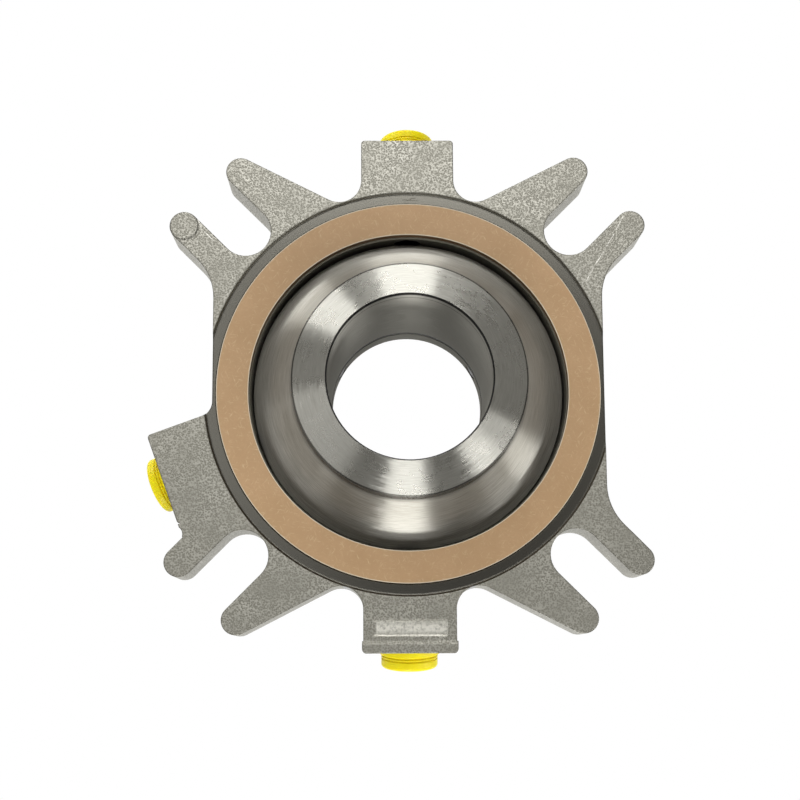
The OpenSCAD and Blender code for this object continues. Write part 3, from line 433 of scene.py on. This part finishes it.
# PTFE filled with carbon, turned: a waxy dark grey with faint tool rings.
ptfe, tree = new_material("carbon_filled_ptfe_turned")
place = add("TexCoord").outputs["Object"]
ring = about_shaft(place)[2]
rings = add("TexNoise", {"Vector": ring, "Scale": 1 / (0.2 * mm), "Roughness": 0.6})
base = add("Mix", {"Factor": rings, "A": linear("2A2928"), "B": linear("383635")}, data_type="RGBA")
dress(ptfe, {"Base Color": base, "Roughness": 0.5, "IOR": 1.38}, "throttle_bushing")


# Set screws
# Socket screws in the collar, thread rolled and hardened. Three grip the shaft through the sleeve and three
# lock the collar on the sleeve.

# Alloy steel with a black oxide finish: near black, with an oily gleam.
black, tree = new_material("alloy_steel_black_oxide")
place = add("TexCoord").outputs["Object"]
oil = add("TexNoise", {"Vector": place, "Scale": 1 / (0.833 * mm), "Roughness": 0.6})
base = add("Mix", {"Factor": oil, "A": linear("3A3A3C"), "B": linear("4A4A4D")}, data_type="RGBA")
rough = add("Mix", {"Factor": oil, "A": 0.32, "B": 0.45})
dress(black, {"Base Color": base, "Metallic": 1.0, "Roughness": rough}, "shaft_drive_screws",
      "collar_lock_screws")


# Setting clips and their screws
# Three clips, milled from bar, hook into the collar's groove and hold the sleeve at its working length. Each
# is held to the gland's back by a cold headed cap screw, and is swung aside once the seal is fitted.

# Brass, milled: a warm yellow with thin brown tarnish in patches and eased edges.
brass, tree = new_material("brass_milled")
place = add("TexCoord").outputs["Object"]
tarnish = add("TexNoise", {"Vector": place, "Scale": 1 / (3.33 * mm), "Detail": 3.0, "Roughness": 0.6})
mill_marks = add("TexNoise", {"Vector": place, "Scale": 1 / (0.25 * mm), "Detail": 1.0})
base = add("Mix", {"Factor": tarnish, "A": linear("C9A258"), "B": linear("DDBB72")}, data_type="RGBA")
rough = add("Mix", {"Factor": tarnish, "A": 0.26, "B": 0.40})
round_edge = add("Bevel", {"Radius": 0.3 * mm}, samples=6)
surface = add("Bump", {"Height": mill_marks, "Strength": 0.2, "Distance": 0.02 * mm, "Normal": round_edge})
dress(brass, {"Base Color": base, "Metallic": 1.0, "Roughness": rough, "Normal": surface},
      "setting_clip_1", "setting_clip_2", "setting_clip_3")

# Stainless steel, cold headed: smooth and bright, with rounded edges and no tool marks.
headed, tree = new_material("stainless_cold_headed")
place = add("TexCoord").outputs["Object"]
draw = add("TexNoise", {"Vector": place, "Scale": 1 / (0.4 * mm), "Roughness": 0.6})
base = add("Mix", {"Factor": draw, "A": linear("B8B8B5"), "B": linear("CFCFCC")}, data_type="RGBA")
rough = add("Mix", {"Factor": draw, "A": 0.24, "B": 0.36})
round_edge = add("Bevel", {"Radius": 0.2 * mm}, samples=6)
dress(headed, {"Base Color": base, "Metallic": 1.0, "Roughness": rough, "Normal": round_edge}, "clip_screws")


# Floor
# A white paper sweep under the seal's collar. It is plain white to the camera and in the metal, and it keeps
# the seal's shadow for the light that it scatters.
bpy.ops.mesh.primitive_plane_add(size=12.0, location=(0, 0, bounds_before[0][2]))
floor = bpy.context.object
floor.name = "floor"
paper, tree = new_material("white_paper_sweep")
scattered = add("BsdfPrincipled", {"Base Color": (0.8, 0.8, 0.8, 1.0), "Roughness": 1.0})
glow = add("Emission", {"Color": (1, 1, 1, 1), "Strength": 1.0})
path = add("LightPath").outputs
mirrored = add("Math", {0: path["Is Glossy Ray"], 1: path["Is Transmission Ray"]}, operation="MAXIMUM")
seen_white = add("Math", {0: path["Is Camera Ray"], 1: mirrored}, operation="MAXIMUM")
add("OutputMaterial", {"Surface": add("MixShader", {0: seen_white, 1: scattered, 2: glow})})
floor.data.materials.append(paper)


# Room
# White to the camera. The metal mirrors a dim room that is darkest overhead, lighter lower down and beyond
# the flush port and at the sides, and white at floor level.
world = bpy.data.worlds.new("studio")
world.use_nodes = True
tree = world.node_tree
tree.nodes.clear()
warm_white = (1.0, 0.98, 0.94, 1.0)
heading = add("SeparateXYZ", {0: add("TexCoord").outputs["Generated"]}).outputs
room = add("MapRange", {"Value": heading["Z"], "From Min": 0.997, "From Max": 0.965, "To Min": 0.05,
                        "To Max": 0.15})
lower_down = add("MapRange", {"Value": heading["Z"], "From Min": 0.90, "From Max": 0.62, "To Max": 0.09})
room = add("Math", {0: room, 1: lower_down}, operation="ADD")
to_side = add("Math", {0: heading["X"]}, operation="ABSOLUTE")
beyond = add("Math", {0: to_side, 1: 0.6, 2: heading["Y"]}, operation="MULTIPLY_ADD")
beyond = add("MapRange", {"Value": beyond, "From Min": 0.06, "From Max": 0.35, "To Max": 0.25})
high_up = add("MapRange", {"Value": heading["Z"], "From Min": 0.66, "From Max": 0.86})
beyond = add("Math", {0: beyond, 1: high_up}, operation="MULTIPLY")
room = add("Math", {0: room, 1: beyond}, operation="ADD")
near_floor = add("MapRange", {"Value": heading["Z"], "From Min": 0.06, "From Max": 0.0})
room = add("Mix", {"Factor": near_floor, "A": room, "B": 1.0})
mirrored_room = add("Background", {"Color": warm_white, "Strength": room})
fill = add("Background", {"Color": warm_white, "Strength": 0.22})
white_back = add("Background", {"Color": (1, 1, 1, 1), "Strength": 1.0})
path = add("LightPath").outputs
mirrored = add("Math", {0: path["Is Glossy Ray"], 1: path["Is Transmission Ray"]}, operation="MAXIMUM")
unseen = add("MixShader", {0: mirrored, 1: fill, 2: mirrored_room})
shown = add("MixShader", {0: path["Is Camera Ray"], 1: unseen, 2: white_back})
add("OutputWorld", {"Surface": shown})
bpy.context.scene.world = world


# Lamps
# Soft boxes round the seal. The turned cone and nose mirror each one as a fan across their grooves, so the
# lamps stand where the fans are, and the two high ones light the blasted casting and its band.

def softbox(name, place, width, depth, power, aim=(0, 0, 0)):
    """A rectangular area lamp in watts, aimed at the seal."""
    lamp = bpy.data.lights.new(name, "AREA")
    lamp.shape = "RECTANGLE"
    lamp.size = width
    lamp.size_y = depth
    lamp.energy = power
    held = bpy.data.objects.new(name, lamp)
    bpy.context.scene.collection.objects.link(held)
    held.location = place
    held.rotation_euler = (Vector(aim) - Vector(place)).to_track_quat("-Z", "Y").to_euler()


# Low strips give the cone its fans.
softbox("strip_beyond_flush_port", (0.0, 0.86, 0.18), 0.40, 0.25, 2.2)
softbox("strip_upper_left", (-0.57, 0.65, 0.18), 0.30, 0.25, 1.6)
softbox("strip_near_drain_port", (-0.02, -0.86, 0.18), 0.34, 0.25, 3.4)
softbox("strip_lower_right", (0.80, -0.34, 0.18), 0.26, 0.25, 1.8)
# Panels half way up give the nose its fans.
softbox("panel_beyond_flush_port", (0.0, 0.78, 0.60), 0.42, 0.4, 0.5)
softbox("panel_upper_left", (-0.52, 0.60, 0.58), 0.34, 0.4, 0.7)
softbox("panel_near_drain_port", (-0.02, -0.66, 0.72), 0.34, 0.4, 1.1)
softbox("panel_lower_right", (0.58, -0.46, 0.62), 0.26, 0.4, 1.2)
softbox("panel_left", (-0.76, -0.30, 0.50), 0.80, 0.6, 1.5)
# High boxes light the upward faces.
softbox("softbox_high_beyond_flush_port", (0.03, 0.49, 0.90), 0.40, 0.26, 1.9)
softbox("softbox_high_left", (-0.20, 0.14, 0.92), 0.20, 0.36, 0.28, aim=(-0.05, 0, 0))


# Camera
# It looks down the shaft axis from the pump side, and leans 9.4 degrees to the drain side. Its place and
# lens were fitted to the round edges of the gasket, cone, nose and bore.
camera = bpy.data.cameras.new("camera")
camera.sensor_width = 36.0
camera.lens = 72.66
eye = bpy.data.objects.new("camera", camera)
bpy.context.scene.collection.objects.link(eye)
eye.matrix_world = (Matrix.Translation((-0.00826, -0.07756, 0.4494))
                    @ Matrix.Rotation(math.radians(-0.74), 4, "Y")
                    @ Matrix.Rotation(math.radians(9.44), 4, "X")
                    @ Matrix.Rotation(math.radians(-0.33), 4, "Z"))
bpy.context.scene.camera = eye
bpy.context.scene.view_settings.view_transform = "Standard"
